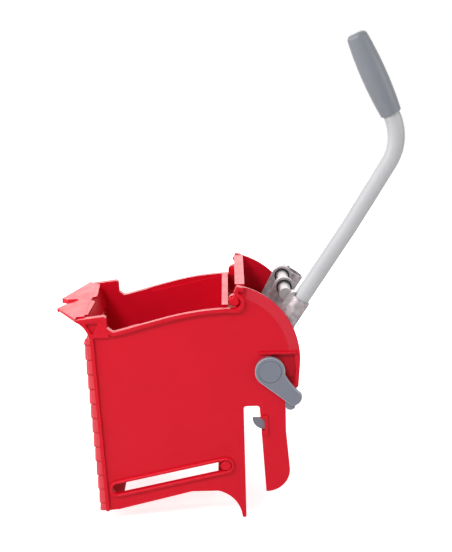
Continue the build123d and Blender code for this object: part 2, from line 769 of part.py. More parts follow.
def press_plate():
    panel = outline(
        (plate_front(PLATE_FOOT), PLATE_FOOT),
        (plate_back(PLATE_FOOT), PLATE_FOOT),
        (plate_back(PLATE_TOP), PLATE_TOP),
        (plate_front(PLATE_TOP), PLATE_TOP),
    )
    plate = slab(panel, -PLATE_HALF, PLATE_HALF)
    half = PLATE_HALF - UPSTAND_INSET
    back = UPSTAND_FRONT + UPSTAND_DEPTH
    plate += block(plate_front(SHELF_Z), back, -half, half, SHELF_Z - PLATE_SKIN, SHELF_Z)
    plate += block(UPSTAND_FRONT, UPSTAND_FRONT + PLATE_SKIN, -half, half, SHELF_Z, UPSTAND_TOP)
    plate += block(UPSTAND_FRONT, back, -half, half, UPSTAND_TOP - PLATE_SKIN, UPSTAND_TOP)
    for y in (-half, -half / 2, -RIB / 2, half / 2 - RIB, half - RIB):
        plate += block(UPSTAND_FRONT, back, y, y + RIB, SHELF_Z, UPSTAND_TOP)
    for y in (-half, -half / 2, half / 2 - RIB, half - RIB):
        rib = outline(
            (plate_front(PLATE_FOOT) + 1, PLATE_FOOT),
            (plate_back(PLATE_FOOT) + RIB_DEPTH / 2, PLATE_FOOT),
            (plate_back(SHELF_Z) + RIB_DEPTH, SHELF_Z - PLATE_SKIN),
            (plate_front(SHELF_Z) + 1, SHELF_Z - PLATE_SKIN),
        )
        plate += slab(rib, y, y + RIB)
    plate += block(plate_front(PLATE_FOOT) + 1, plate_back(PLATE_FOOT) + RIB_DEPTH / 2, -half, half,
                   PLATE_FOOT, PLATE_FOOT + RIB)
    for stud, radius in ((UPPER_STUD, UPPER_STUD_R), (LOWER_STUD, LOWER_STUD_R)):
        boss = rod(stud, radius + STUD_WALL, -PLATE_HALF, -STUD_IN) - rod(stud, radius, -PLATE_HALF, -STUD_IN)
        hole = rod(stud, radius, -PLATE_HALF - 1, -STUD_IN)
        plate = plate - [hole, far(hole)] + [boss, far(boss)]
    for place in clevis_screw_places():
        plate -= clevis_screw(place)
    return plate


def guide_stud(place, radius, reach):
    return rod(place, radius, -reach, -STUD_IN)


def clevis_slot():
    """Upright slot in the clevis cheeks that the link pin rides in."""
    left = LINK_FOOT[0] - LINK_PIN_R - PLAY_LEFT
    right = LINK_FOOT[0] + LINK_PIN_R + PLAY_RIGHT
    low = LINK_FOOT[1] - LINK_PIN_R - PLAY_DOWN
    high = LINK_FOOT[1] + LINK_PIN_R + PLAY_UP
    return left, right, low, high


def clevis_screw_places():
    left, right, low, high = clevis_slot()
    return [(y, z) for y in (-CLEVIS_SCREW_Y, CLEVIS_SCREW_Y) for z in (low, high)]


def clevis_seat():
    """Back of the press plate behind the clevis."""
    left, right, low, high = clevis_slot()
    return plate_back(high + CHEEK_WALL)


def drive_clevis():
    """Bracket on the back of the press plate: two cheeks with an upright slot for the link pin."""
    left, right, low, high = clevis_slot()
    seat = clevis_seat()
    low -= CHEEK_WALL
    high += CHEEK_WALL
    foot = outline(
        (plate_back(low), low),
        (seat + CLEVIS_BASE, low),
        (seat + CLEVIS_BASE, high),
        (plate_back(high), high),
    )
    clevis = slab(foot, -CLEVIS_HALF, CLEVIS_HALF)
    cheek = outline(
        (seat + CLEVIS_BASE - 1, low),
        (right + CHEEK_WALL, low),
        (right + CHEEK_WALL, high),
        (seat + CLEVIS_BASE - 1, high),
    )
    for corner in ((right + CHEEK_WALL, low), (right + CHEEK_WALL, high)):
        cheek = round_corner(cheek, corner, CHEEK_WALL + LINK_PIN_R)
    opening = RectangleRounded(right - left, high - low - 2 * CHEEK_WALL, LINK_PIN_R)
    cheek -= Pos((left + right) / 2, (low + high) / 2) * opening
    clevis += [slab(cheek, -CHEEK_OUT, -CHEEK_IN), slab(cheek, CHEEK_IN, CHEEK_OUT)]
    for place in clevis_screw_places():
        clevis -= clevis_screw(place)
    return clevis


def clevis_screw(place):
    """Screw along X through the clevis foot into the press plate."""
    y, z = place
    face = clevis_seat() + CLEVIS_BASE
    start = Plane((face, y, z), (0, 1, 0), (1, 0, 0))
    shank = extrude(start * Circle(SCREW_R), -CLEVIS_BASE - PLATE_THICK + 1)
    return shank + extrude(start * Circle(SCREW_HEAD_R), SCREW_HEAD)


def clevis_screws():
    return Compound([clevis_screw(place) for place in clevis_screw_places()])


# Pull lever

def tube_axis(point, angle):
    """Plane across the lever tube at a point of its axis."""
    along = turn(angle, 1)
    return Plane((point[0], -TUBE_Y, point[1]), (0, 1, 0), (along[0], 0, along[1]))


def lever_arm():
    """Die-cast arm: pivot hub, web with a half-round seat for the cross shaft, and tube socket."""
    web_out = -ARM_WEB_OUT
    web = make_hull(
        disc(PIVOT, ARM_HUB_R).edges()
        + disc(SADDLE, SADDLE_R).edges()
        + disc(WEB_FOOT, SOCKET_R).edges()
    )
    arm = slab(web, web_out, web_out + ARM_WEB)
    arm += rod(PIVOT, ARM_HUB_R, -ARM_OUT, -ARM_OUT + ARM_HUB)
    foot = tube_axis(SOCKET_FOOT, LEVER_ANGLE)
    arm += extrude(foot * Circle(SOCKET_R), SOCKET_LENGTH)
    mouth = tube_axis(TUBE_FOOT, LEVER_ANGLE)
    arm -= extrude(mouth * Circle(TUBE_R + SOCKET_CLEAR), SOCKET_LENGTH)
    arm -= extrude(tube_axis(SOCKET_TOP, LEVER_ANGLE) * Circle(SOCKET_R), 2 * SADDLE_R)
    arm -= rod(PIVOT, PIVOT_R + RUN_CLEAR + PIVOT_BUSH, -ARM_OUT - 1, -ARM_OUT + ARM_HUB + 1)
    arm -= cross_shaft()
    return arm - rod(RIVET, RIVET_R, -WALL_IN, 0)


def pivot_bush():
    bore = PIVOT_R + RUN_CLEAR
    return ring(PIVOT, bore + PIVOT_BUSH, bore, -ARM_OUT, -ARM_OUT + ARM_HUB)


def cross_shaft():
    reach = ARM_WEB_OUT - SHAFT_INSET
    return rod(SHAFT, SHAFT_R, -reach, reach)


def tube_path():
    corners = [TUBE_FOOT, LEVER_KNEE, LEVER_CORNER, polar(GRIP_END, GRIP_ANGLE + 180, GRIP_CAP)]
    return FilletPolyline(*[(x, -TUBE_Y, z) for x, z in corners], radius=LEVER_BEND_R)


def lever_tube():
    """Bent handle tube, from the socket floor up into the grip."""
    start = tube_axis(TUBE_FOOT, LEVER_ANGLE)
    wall = start * (Circle(TUBE_R) - Circle(TUBE_R - TUBE_WALL))
    return sweep(wall, path=tube_path()) - rod(RIVET, RIVET_R, -WALL_IN, 0)


def hand_grip():
    """Barrel-shaped grip, closed at the top, pushed over the tube's end."""
    crown = GRIP_LENGTH - GRIP_DOME
    profile = outline(
        (0, 0),
        (GRIP_END_R, 0),
        ((GRIP_R, crown / 2), (GRIP_END_R, crown)),
        (polar((GRIP_END_R - GRIP_DOME, crown), 45, GRIP_DOME), (GRIP_END_R - GRIP_DOME, GRIP_LENGTH)),
        (0, GRIP_LENGTH),
    )
    barrel = revolve(Plane.XZ * profile, Axis.Z)
    barrel -= extrude(Circle(TUBE_R), GRIP_LENGTH - GRIP_CAP)
    return tube_axis(GRIP_FOOT, GRIP_ANGLE).location * barrel


def socket_rivet():
    """Rivet through the socket and the tube."""
    outer = -TUBE_Y - SOCKET_R
    inner = -TUBE_Y + SOCKET_R
    rivet = rod(RIVET, RIVET_R, outer, inner)
    rivet += rod(RIVET, RIVET_HEAD_R, outer - RIVET_HEAD, outer)
    return rivet + rod(RIVET, RIVET_HEAD_R, inner, inner + RIVET_HEAD)


def stop_bar():
    return rod(STOP, STOP_R, -WALL_IN - STOP_SEAT, WALL_IN + STOP_SEAT)


# Drive link

def drive_link():
    """Forked link: two plates with bushed eyes on the cross shaft, tied by a bar, and the pin's holes."""
    plate = make_hull(disc(SHAFT, LINK_EYE_R).edges() + disc(LINK_FOOT, LINK_FOOT_R).edges())
    side = slab(plate, -LINK_PLATE_OUT, -LINK_PLATE_IN)
    tie = polar(LINK_FOOT, LINK_ANGLE + 180, LINK_LENGTH * LINK_TIE)
    link = side + far(side) + rod(tie, LINK_TIE_R, -LINK_PLATE_OUT, LINK_PLATE_OUT)
    link -= rod(SHAFT, LINK_BORE, -LINK_PLATE_OUT - 1, LINK_PLATE_OUT + 1)
    return link - rod(LINK_FOOT, LINK_PIN_R, -LINK_PLATE_OUT - 1, LINK_PLATE_OUT + 1)


def link_bush():
    """The two bushes in the link's eyes."""
    bush = ring(SHAFT, LINK_BORE, SHAFT_R + RUN_CLEAR, -LINK_PLATE_OUT, -LINK_PLATE_IN)
    return Compound([bush, far(bush)])


def link_pin():
    return rod(LINK_FOOT, LINK_PIN_R, -LINK_PLATE_OUT, LINK_PLATE_OUT)


# Bucket latch

def latch_lever():
    """Outside lever: round head with a cap recess, and a tail that the thumb lifts."""
    start = polar(LATCH, -129, LATCH_HEAD_R)
    shoulder = polar(LATCH, -12, LATCH_HEAD_R)
    toe = add(LATCH_TAIL, (-13.5, -15.3))
    face = outline(
        start,
        toe,
        (add(LATCH_TAIL, (-1.8, -10.5)), LATCH_TAIL),
        (add(LATCH_TAIL, (-13.8, 15.2)), shoulder),
        (polar(LATCH, 110, LATCH_HEAD_R), polar(LATCH, -130, LATCH_HEAD_R)),
    )
    lever = slab(face, -LATCH_OUT, -LATCH_IN)
    lever = fillet(lever.faces().sort_by(Axis.Y)[0].edges(), LATCH_EDGE)
    lever += rod(add(LATCH_TAIL, (-15.2, -15.5)), TAB_R, -LATCH_IN - TAB_THICK, -LATCH_IN)
    lever -= rod(LATCH, CAP_R + CAP_GROOVE, -LATCH_OUT - 1, -LATCH_OUT + CAP_THICK)
    return lever - rod(LATCH, LATCH_AXLE_R, -LATCH_OUT, -LATCH_IN + 1)


def latch_cap():
    return rod(LATCH, CAP_R, -LATCH_OUT, -LATCH_OUT + CAP_THICK)


def latch_axle():
    reach = LATCH_OUT - CAP_THICK
    return rod(LATCH, LATCH_AXLE_R, -reach, reach)


def spring_rise():
    """Slope of the latch spring's coil."""
    return atan2(SPRING_PITCH, 2 * pi * SPRING_R)


def spring_hole():
    """Where the bent leg of the latch spring enters the left hook arm."""
    return (LATCH[0] - SPRING_R, LATCH[1] - SPRING_LEG * cos(spring_rise()))


def latch_hook():
    """Inside arm that swings a tooth into the bucket slot, under the bucket's rim."""
    heel = (TOOTH_TIP + TOOTH_R, TOOTH_TOP - TOOTH_R)
    face = outline(
        (ARM_LEFT, LATCH[1]),
        (ARM_LEFT, TOOTH_TOP),
        (TOOTH_TIP, TOOTH_TOP),
        (polar((heel[0], TOOTH_TOP), 225, TOOTH_R), heel),
        (ARM_RIGHT, heel[1]),
        (LATCH[0] + HOOK_HUB_R - 1, LATCH[1]),
    )
    face += disc(LATCH, HOOK_HUB_R)
    hook = slab(face, -HOOK_ARM_OUT, -HOOK_ARM_IN)
    hook -= rod(LATCH, LATCH_AXLE_R, -HOOK_ARM_OUT - 1, -HOOK_ARM_IN + 1)
    return hook - rod(spring_hole(), SPRING_WIRE / 2 + 0.1, -HOOK_ARM_OUT - 1, -HOOK_ARM_IN + 1)


def coil_points():
    """Joints of the coil's arcs, a quarter turn apart, clockwise from the left side of the axle."""
    rise = spring_rise()
    span = 4 * SPRING_R ** 2 + SPRING_PITCH ** 2 / 4
    side = SPRING_PITCH * sin(rise)
    handle = (sqrt(side ** 2 + 4 * cos(rise) ** 2 * span) - side) / (4 * cos(rise) ** 2)
    points = []
    for quarter in range(SPRING_QUARTERS + 1):
        radius = SPRING_R if quarter % 2 == 0 else handle * cos(rise)
        x, z = polar(LATCH, 180 - 90 * quarter, radius)
        points.append(Vector(x, -SPRING_Y + SPRING_PITCH * quarter / 4, z))
    return points


def spring_path():
    """Leg bent into the hook arm, coil round the axle, and leg that bears on the rim beam."""
    coil = coil_points()
    heading = Vector(0, sin(spring_rise()), cos(spring_rise()))
    knee = coil[0] - heading * SPRING_LEG
    hook_end = Vector(knee.X, -HOOK_ARM_OUT + 1, knee.Z)
    edges = list(FilletPolyline(hook_end, knee, coil[0], radius=SPRING_BEND_R).edges())
    for point in coil[1:]:
        edges.append(TangentArc(edges[-1] @ 1, point, tangent=edges[-1] % 1))
    rest = (BEAM_HALF - RIB / 2, BEAM_THICK + BEAM_RIB + SPRING_WIRE / 2 + SPRING_SEAT)
    gap = Vector(rest[0] - LATCH[0], rest[1] - LATCH[1])
    leave = degrees(atan2(gap.Y, gap.X) + acos(SPRING_R / gap.length))
    x, z = polar(LATCH, leave, SPRING_R)
    end = Vector(x, coil[-1].Y - SPRING_PITCH * leave / 360, z)
    edges.append(TangentArc(coil[-1], end, tangent=edges[-1] % 1))
    reach = sqrt(gap.length ** 2 - SPRING_R ** 2)
    edges.append(Line(end, end + (edges[-1] % 1) * reach))
    return Wire(edges)


def least_gap(path, count=900):
    """Least clear distance between stretches of the spring that are not neighbours."""
    points = [path @ (step / count) for step in range(count + 1)]
    apart = int(count * pi * SPRING_R / path.length)
    clear = []
    for first in range(0, count + 1 - apart):
        clear += [(points[first] - other).length for other in points[first + apart:]]
    return min(clear) - SPRING_WIRE


def latch_spring():
    """Torsion spring round the latch axle, which holds the teeth in the bucket slot."""
    path = spring_path()
    print("least gap of the latch spring", round(least_gap(path), 2))
    return sweep(Plane(path @ 0, z_dir=path % 0) * Circle(SPRING_WIRE / 2), path=path)


PARTS = {
    "front_wall": front_wall,
    "front_lip": front_lip,
    "rim_beam": rim_beam,
    "rear_bridge": rear_bridge,
    "frame_screws": frame_screws,
    "stop_bar": stop_bar,
    "press_plate": press_plate,
    "drive_clevis": drive_clevis,
    "clevis_screws": clevis_screws,
    "cross_shaft": cross_shaft,
    "lever_tube": lever_tube,
    "hand_grip": hand_grip,
    "socket_rivet": socket_rivet,
    "drive_link": drive_link,
    "link_bush": link_bush,
    "link_pin": link_pin,
    "latch_axle": latch_axle,
    "latch_spring": latch_spring,
}

PAIRS = {
    "side_plate": side_plate,
    "pivot_pin": pivot_pin,
    "pivot_bush": pivot_bush,
    "upper_stud": lambda: guide_stud(UPPER_STUD, UPPER_STUD_R, WALL_IN + UPPER_GROOVE - 0.3),
    "lower_stud": lambda: guide_stud(LOWER_STUD, LOWER_STUD_R, WALL_OUT + FLANGE_RISE - 0.5),
    "lever_arm": lever_arm,
    "latch_lever": latch_lever,
    "latch_cap": latch_cap,
    "latch_hook": latch_hook,
}


def main():
    os.makedirs("parts", exist_ok=True)
    for name, make in PARTS.items():
        export_step(make(), f"parts/{name}.step")
    for name, make in PAIRS.items():
        left = make()
        export_step(left, f"parts/{name}_left.step")
        export_step(far(left), f"parts/{name}_right.step")


main()
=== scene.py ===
import json
from math import radians

import bmesh
import bpy
from mathutils import Matrix, Vector


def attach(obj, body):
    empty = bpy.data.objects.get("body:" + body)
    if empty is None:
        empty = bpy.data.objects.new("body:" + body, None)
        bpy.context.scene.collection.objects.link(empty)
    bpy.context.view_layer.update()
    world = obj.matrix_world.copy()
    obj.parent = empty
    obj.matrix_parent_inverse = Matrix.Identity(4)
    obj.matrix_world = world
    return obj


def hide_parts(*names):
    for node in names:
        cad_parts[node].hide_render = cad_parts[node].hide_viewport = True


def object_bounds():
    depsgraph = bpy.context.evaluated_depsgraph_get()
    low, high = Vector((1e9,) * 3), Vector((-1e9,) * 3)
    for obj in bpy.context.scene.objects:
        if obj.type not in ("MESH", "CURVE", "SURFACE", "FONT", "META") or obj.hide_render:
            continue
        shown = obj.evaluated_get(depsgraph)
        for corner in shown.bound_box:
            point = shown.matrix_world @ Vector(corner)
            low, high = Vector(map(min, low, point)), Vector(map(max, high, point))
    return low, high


bl_info = {
    "name": "Mop Wringer",
    "version": (1, 0, 0),
    "blender": (4, 5, 0),
    "location": "View3D > Sidebar > Wringer",
    "description": "Dresses the mop wringer: moulded red housing, press, cast lever and latch",
    "category": "Object",
}

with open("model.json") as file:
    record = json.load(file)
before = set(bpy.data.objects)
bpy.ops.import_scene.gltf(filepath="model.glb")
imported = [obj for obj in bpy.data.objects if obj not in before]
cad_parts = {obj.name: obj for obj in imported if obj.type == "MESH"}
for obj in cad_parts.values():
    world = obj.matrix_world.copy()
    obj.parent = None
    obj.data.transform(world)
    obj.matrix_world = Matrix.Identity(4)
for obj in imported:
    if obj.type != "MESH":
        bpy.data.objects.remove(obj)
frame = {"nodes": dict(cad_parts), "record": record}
CAD_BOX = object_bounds()

# Lengths in metres, tilts as the share of a unit normal that points along Y

MERGE = 1e-6
SAME_PLANE = radians(0.5)
SHARP = radians(32)
FLAT = 0.998
EDGE_SEGMENTS = 3
BEAD_SEGMENTS = 4
FACE_WEIGHT = 80

# Side plates: band of the raised beads, slope and start of the guard's rim with its painted highlight, floor
# of the latch pocket with its painted shade
BEAD_STEP = 0.0015
RIM_TILT = (0.95, FLAT)
RIM_FROM = -0.03
POCKET_DEPTH = (0.007, 0.0092)
POCKET_FROM = Vector((0.02, 0, 0.02))

# Latch levers: slope and depth of the edge that gets a painted highlight
HIGHLIGHT_TILT = (0.25, 0.985)
HIGHLIGHT_BAND = 0.0013

# Front wall: shortest edge of a blade, width of an end strip that gets a painted highlight, and the grooves
# scored in it
BLADE_EDGE = 0.03
END_STRIP = 0.0062
SCORE_WIDTH = 0.0022
SCORE_DEPTH = 0.002
SCORE_REACH = 1e-5

# Studio: lamps by name, place from the middle of the object and size, the camera, and the floor with its fade
LAMPS = (
    ("overhead", (-0.3, 0.2, 1.5), 1.2),
    ("front", (-0.95, -1.5, 1.6), 0.6),
    ("left", (-1.6, -0.5, 0.6), 1.0),
    ("right", (1.6, -0.6, 0.6), 1.0),
    ("back", (0.0, 1.7, 0.6), 1.5),
)
SENSOR = 36.0
NEAREST = 0.05
WHITE = (1, 1, 1, 1)
FLOOR_SHADE = (0.92, 0.92, 0.92)
FLOOR_HALF = 3.0
FLOOR_CELLS = 8
FLOOR_GAP = 0.001
FLOOR_FADE = {"From Min": 0.35, "From Max": 1.6, "To Min": 0.72, "To Max": 1.0}

# Part of a noise that is spread over the whole range of a colour or a roughness
NOISE_SPAN = (0.3, 0.7)


class WringerColours(bpy.types.PropertyGroup):
    """Colours of the wringer's finishes."""

    red: bpy.props.FloatVectorProperty(
        name="Moulded red", description="Housing and press", subtype="COLOR", default=(0.68, 0.004, 0.02)
    )
    # Painted highlight: a lighter red for the guard's sloped rim
    rim_red: bpy.props.FloatVectorProperty(
        name="Rim red", description="Sloped rim of the guards, with a painted highlight", subtype="COLOR", default=(0.68, 0.025, 0.045)
    )
    # Painted highlight: a paler red for the ends of the louvres
    scuffed_red: bpy.props.FloatVectorProperty(
        name="Scuffed red", description="Ends of the louvres, with a painted highlight", subtype="COLOR", default=(0.72, 0.07, 0.09)
    )
    stud_red: bpy.props.FloatVectorProperty(
        name="Stud red", description="Guide studs", subtype="COLOR", default=(0.74, 0.004, 0.02)
    )
    slate: bpy.props.FloatVectorProperty(
        name="Slate grey", description="Latch", subtype="COLOR", default=(0.2, 0.216, 0.265)
    )
    # Painted highlight: a paler grey for the latch's rounded edge
    worn_slate: bpy.props.FloatVectorProperty(
        name="Worn slate", description="Rounded edge of the latch, with a painted highlight", subtype="COLOR", default=(0.42, 0.4, 0.43)
    )
    # Painted shade: a darker red for the floor of the latch pocket
    grimed_red: bpy.props.FloatVectorProperty(
        name="Grimed red", description="Pocket behind the latch, with painted shade", subtype="COLOR", default=(0.5, 0.003, 0.014)
    )
    grip: bpy.props.FloatVectorProperty(
        name="Grip grey", description="Hand grip", subtype="COLOR", default=(0.215, 0.228, 0.258)
    )
    tube: bpy.props.FloatVectorProperty(
        name="Tube grey", description="Powder coat of the tube", subtype="COLOR", default=(0.53, 0.53, 0.55)
    )
    alloy: bpy.props.FloatVectorProperty(
        name="Cast alloy", description="Arms, link and clevis", subtype="COLOR", default=(0.43, 0.385, 0.4)
    )
    steel: bpy.props.FloatVectorProperty(
        name="Bright steel", description="Shafts and screws", subtype="COLOR", default=(0.37, 0.34, 0.345)
    )
    nylon: bpy.props.FloatVectorProperty(
        name="Dark nylon", description="Bushes", subtype="COLOR", default=(0.02, 0.02, 0.022)
    )


class WringerEdges(bpy.types.PropertyGroup):
    """How far the edges of each material are rounded."""

    moulded: bpy.props.FloatProperty(
        name="Moulded edge", description="Edge radius of red mouldings", subtype="DISTANCE", default=0.0012
    )
    louvre: bpy.props.FloatProperty(
        name="Louvre edge", description="Edge radius of the blades", subtype="DISTANCE", default=0.0008
    )
    latch: bpy.props.FloatProperty(
        name="Latch edge", description="Edge radius of the grey pieces", subtype="DISTANCE", default=0.0006
    )
    cast: bpy.props.FloatProperty(
        name="Cast edge", description="Edge radius of the castings", subtype="DISTANCE", default=0.001
    )
    steel: bpy.props.FloatProperty(
        name="Steel edge", description="Edge radius of turned steel", subtype="DISTANCE", default=0.0004
    )
    bead: bpy.props.FloatProperty(
        name="Bead edge", description="Edge radius of the raised beads", subtype="DISTANCE", default=0.00205
    )


class WringerStage(bpy.types.PropertyGroup):
    """Camera and light of the studio."""

    camera_place: bpy.props.FloatVectorProperty(
        name="Camera place", description="Where the camera stands", subtype="TRANSLATION",
        default=(-0.0184, -1.515, 0.563)
    )
    pitch: bpy.props.FloatProperty(
        name="Pitch", description="How far the camera looks down", subtype="ANGLE", default=radians(15)
    )
    roll: bpy.props.FloatProperty(
        name="Roll", description="How far the camera leans", subtype="ANGLE", default=radians(1.6)
    )
    lens: bpy.props.FloatProperty(name="Lens", description="Focal length in millimetres", default=74.1)
    fill: bpy.props.FloatProperty(name="Fill", description="Light from all round", default=0.2)
    overhead: bpy.props.FloatProperty(
        name="Overhead", description="Softbox above the object", subtype="POWER", default=2.0
    )
    front: bpy.props.FloatProperty(
        name="Front", description="Softbox beside the camera", subtype="POWER", default=31.5
    )
    left: bpy.props.FloatProperty(
        name="Left", description="Softbox beyond the lip", subtype="POWER", default=14.0
    )
    right: bpy.props.FloatProperty(
        name="Right", description="Softbox beyond the lever", subtype="POWER", default=8.0
    )
    back: bpy.props.FloatProperty(
        name="Back", description="Wide softbox behind the object", subtype="POWER", default=18.0
    )


# Materials

def finish_nodes(name):
    """A new node material: its tree, its shader and the object's own coordinates."""
    material = bpy.data.materials.new(name)
    material.use_nodes = True
    tree = material.node_tree
    shader = tree.nodes["Principled BSDF"]
    place = tree.nodes.new("ShaderNodeTexCoord")
    return material, tree, shader, place.outputs["Object"]


def grain(tree, place, scale, detail=4.0):
    """Noise over the surface, with scale features per metre."""
    noise = tree.nodes.new("ShaderNodeTexNoise")
    noise.inputs["Scale"].default_value = scale
    noise.inputs["Detail"].default_value = detail
    tree.links.new(place, noise.inputs["Vector"])
    return noise.outputs["Fac"]


def vary_colour(tree, shader, factor, colour, spread):
    """Drifts the colour a little darker and lighter along a factor."""
    ramp = tree.nodes.new("ShaderNodeValToRGB")
    darker, lighter = ramp.color_ramp.elements
    darker.position, lighter.position = NOISE_SPAN
    darker.color = (*[c * (1 - spread) for c in colour], 1)
    lighter.color = (*[min(1, c * (1 + spread)) for c in colour], 1)
    tree.links.new(factor, ramp.inputs["Fac"])
    tree.links.new(ramp.outputs["Color"], shader.inputs["Base Color"])


def vary_roughness(tree, shader, factor, low, high):
    """Spreads the roughness from low to high along a factor."""
    spread = tree.nodes.new("ShaderNodeMapRange")
    for socket, value in zip(("From Min", "From Max", "To Min", "To Max"), (*NOISE_SPAN, low, high)):
        spread.inputs[socket].default_value = value
    tree.links.new(factor, spread.inputs["Value"])
    tree.links.new(spread.outputs["Result"], shader.inputs["Roughness"])


def bump(tree, shader, factor, strength, height):
    """Fine relief of a height in metres along a factor."""
    relief = tree.nodes.new("ShaderNodeBump")
    relief.inputs["Strength"].default_value = strength
    relief.inputs["Distance"].default_value = height
    tree.links.new(factor, relief.inputs["Height"])
    tree.links.new(relief.outputs["Normal"], shader.inputs["Normal"])


def moulded_plastic(name, colour, low=0.34, high=0.44, specular=0.2):
    """Injection-moulded plastic: faint colour drift and a fine satin grain."""
    material, tree, shader, place = finish_nodes(name)
    vary_colour(tree, shader, grain(tree, place, scale=9.0), colour, spread=0.03)
    vary_roughness(tree, shader, grain(tree, place, scale=60.0), low, high)
    bump(tree, shader, grain(tree, place, scale=1400.0, detail=2.0), strength=0.12, height=0.0002)
    shader.inputs["Specular IOR Level"].default_value = specular
    return material


def rubber(name, colour):
    """Soft grip: a matt moulding that catches light at its edges."""
    material = moulded_plastic(name, colour, low=0.36, high=0.46, specular=0.5)
    shader = material.node_tree.nodes["Principled BSDF"]
    shader.inputs["Sheen Weight"].default_value = 0.5
    shader.inputs["Sheen Roughness"].default_value = 0.35
    return material


def powder_coat(name, colour):
    """Powder-coated steel tube: a slight orange-peel."""
    material, tree, shader, place = finish_nodes(name)
    vary_colour(tree, shader, grain(tree, place, scale=14.0), colour, spread=0.02)
    vary_roughness(tree, shader, grain(tree, place, scale=80.0), low=0.32, high=0.42)
    bump(tree, shader, grain(tree, place, scale=700.0, detail=1.0), strength=0.1, height=0.0003)
    return material


def cast_metal(name, colour):
    """Die-cast alloy: matt, with a sandy grain and cloudy patches."""
    material, tree, shader, place = finish_nodes(name)
    vary_colour(tree, shader, grain(tree, place, scale=190.0, detail=6.0), colour, spread=0.26)
    vary_roughness(tree, shader, grain(tree, place, scale=160.0), low=0.4, high=0.6)
    bump(tree, shader, grain(tree, place, scale=900.0, detail=3.0), strength=0.45, height=0.0004)
    shader.inputs["Metallic"].default_value = 0.75
    return material


def turned_steel(name, colour):
    """Bright turned or plated steel with fine marks."""
    material, tree, shader, place = finish_nodes(name)
    vary_colour(tree, shader, grain(tree, place, scale=120.0), colour, spread=0.06)
    vary_roughness(tree, shader, grain(tree, place, scale=400.0), low=0.4, high=0.52)
    bump(tree, shader, grain(tree, place, scale=2200.0, detail=2.0), strength=0.08, height=0.0001)
    shader.inputs["Metallic"].default_value = 1.0
    return material


# Each finish: what makes it, its colour, and its lowest and highest roughness and its shine where they differ
FINISHES = {
    "Moulded red": (moulded_plastic, "red"),
    # Painted highlight: lighter red on the guard's sloped rim
    "Rim red": (moulded_plastic, "rim_red"),
    # Painted highlight: paler red on the ends of the louvres
    "Scuffed red": (moulded_plastic, "scuffed_red"),
    "Stud red": (moulded_plastic, "stud_red", 0.28, 0.36),
    "Slate plastic": (moulded_plastic, "slate", 0.38, 0.48, 0.4),
    # Painted highlight: paler grey on the latch's rounded edge
    "Worn slate": (moulded_plastic, "worn_slate", 0.42, 0.52, 0.4),
    # Painted shade: darker red on the floor of the latch pocket
    "Grimed red": (moulded_plastic, "grimed_red", 0.5, 0.6),
    "Grip rubber": (rubber, "grip"),
    "Dark nylon": (moulded_plastic, "nylon", 0.45, 0.55, 0.3),
    "Tube powder coat": (powder_coat, "tube"),
    "Cast alloy": (cast_metal, "alloy"),
    "Bright steel": (turned_steel, "steel"),
}


def finish(name):
    """The material of that name, made the first time it is asked for."""
    if name in bpy.data.materials:
        return bpy.data.materials[name]
    make, colour, *settings = FINISHES[name]
    return make(name, getattr(bpy.context.scene.wringer_colours, colour), *settings)


# Pieces

NODE_BODY = {
    node: body
    for body, nodes in frame["record"]["behaviour"]["bodies"].items()
    for node in nodes
}


def both(node):
    """Names of the left and the right piece."""
    return [f"{node}_left", f"{node}_right"]


def merged(node):
    """The CAD node's triangles merged into its flat faces."""
    shape = bmesh.new()
    shape.from_mesh(frame["nodes"][node].data)
    bmesh.ops.remove_doubles(shape, verts=shape.verts, dist=MERGE)
    bmesh.ops.dissolve_limit(
        shape, angle_limit=SAME_PLANE, use_dissolve_boundaries=False, verts=shape.verts, edges=shape.edges
    )
    return shape


def chains(edges):
    """Edges sorted into the chains that they form, in the order of the mesh."""
    left = set(edges)
    found = []
    for first in edges:
        if first not in left:
            continue
        left.remove(first)
        chain, grown = set(), {first}
        while grown:
            chain |= grown
            touched = {other for edge in grown for vert in edge.verts for other in vert.link_edges}
            grown = touched & left
            left -= grown
        found.append([edge for edge in edges if edge in chain])
    return found


def trim(chain, shortest):
    """Takes short edges off the open ends of a chain."""
    while True:
        linked = set(chain)
        kept = [
            edge
            for edge in chain
            if edge.calc_length() >= shortest
            or all(len(linked.intersection(vert.link_edges)) > 1 for vert in edge.verts)
        ]
        if len(kept) == len(chain):
            return chain
        chain = kept


def run_length(chain):
    """Length of a chain of edges."""
    return sum(edge.calc_length() for edge in chain)


def step_height(edge):
    """How far the wall beside an edge goes down towards the plate."""
    depths = [[abs(vert.co.y) for vert in face.verts] for face in edge.link_faces]
    return max(max(depth) - min(depth) for depth in depths)


def round_beads(shape, radius):
    """Rounds the raised beads chain by chain, the longest first; a low step is left as it is."""
    outermost = max(abs(vert.co.y) for vert in shape.verts)
    ridges = [
        edge
        for edge in shape.edges
        if edge.is_convex
        and min(abs(vert.co.y) for vert in edge.verts) > outermost - BEAD_STEP
        and edge.calc_face_angle(0) > SHARP
        and step_height(edge) > radius
    ]
    for chain in sorted(chains(ridges), key=run_length, reverse=True):
        rail = min(abs(vert.co.y) for edge in chain for vert in edge.verts) > outermost - MERGE
        kept = trim(chain, 2 * radius) if rail else chain
        bmesh.ops.bevel(
            shape, geom=kept, offset=radius, offset_type="OFFSET", segments=BEAD_SEGMENTS, profile=0.5,
            affect="EDGES", clamp_overlap=not rail, material=-1
        )


def paint_rim_highlight(shape):
    """Gives the guard's sloped rim the second material, a lighter red that is a painted highlight."""
    for face in shape.faces:
        if RIM_TILT[0] < abs(face.normal.y) < RIM_TILT[1] and face.calc_center_median().x > RIM_FROM:
            face.material_index = 1


